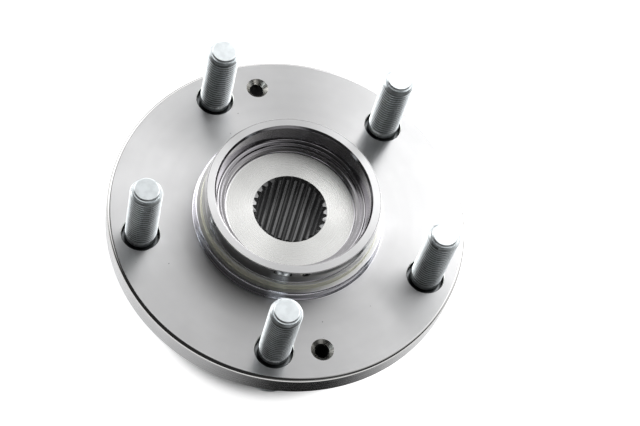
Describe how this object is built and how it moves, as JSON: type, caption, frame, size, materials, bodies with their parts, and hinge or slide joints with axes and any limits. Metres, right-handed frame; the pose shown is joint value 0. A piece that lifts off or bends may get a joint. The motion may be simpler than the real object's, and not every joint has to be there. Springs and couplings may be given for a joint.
{
  "type": "wheel hub",
  "caption": "Driven wheel hub with pressed-in wheel studs, stepped pilot collar and splined bore, on its sealed double-row ball bearing.",
  "frame": {"origin": "on the hub's axis, in the plane of the flange's outer face, which is the centre of the stud circle", "axes": "+Z along the hub's axis, out towards the wheel; +Y through one wheel stud"},
  "size_m": [0.138, 0.138, 0.0925],
  "materials": {
    "hub_steel": "fine turned, satin",
    "stud_zinc": "bright zinc plate",
    "bearing_steel": "ground",
    "ball_steel": "polished",
    "cage_polyamide": "moulded",
    "seal_rubber": "matte",
    "sheet_steel": "pressed sheet"
  },
  "bodies": {
    "bearing_housing": {"bearing_outer_ring": "bearing_steel", "seal_case_outboard": "sheet_steel", "seal_case_inboard": "sheet_steel", "seal_lip_outboard": "seal_rubber", "seal_lip_inboard": "seal_rubber"},
    "rotating_hub": {"hub": "hub_steel", "stud_1": "stud_zinc", "stud_2": "stud_zinc", "stud_3": "stud_zinc", "stud_4": "stud_zinc", "stud_5": "stud_zinc", "inner_ring_outboard": "bearing_steel", "inner_ring_inboard": "bearing_steel", "inner_ring_clip": "sheet_steel", "slinger_outboard": "sheet_steel", "slinger_inboard": "sheet_steel"},
    "ball_row_outboard": {"balls_outboard": "ball_steel", "cage_outboard": "cage_polyamide"},
    "ball_row_inboard": {"balls_inboard": "ball_steel", "cage_inboard": "cage_polyamide"}
  },
  "joints": [
    {"name": "hub_spin", "type": "hinge", "parent": "bearing_housing", "child": "rotating_hub", "pos_m": [0, 0, -0.0385], "axis": [0, 0, 1], "continuous": true},
    {"name": "outboard_row_orbit", "type": "hinge", "parent": "bearing_housing", "child": "ball_row_outboard", "pos_m": [0, 0, -0.0305], "axis": [0, 0, 1], "continuous": true},
    {"name": "inboard_row_orbit", "type": "hinge", "parent": "bearing_housing", "child": "ball_row_inboard", "pos_m": [0, 0, -0.0465], "axis": [0, 0, 1], "continuous": true}
  ],
  "couplings": [
    {"joint": "outboard_row_orbit", "follows": "hub_spin", "ratio": 0.4204},
    {"joint": "inboard_row_orbit", "follows": "hub_spin", "ratio": 0.4204}
  ]
}
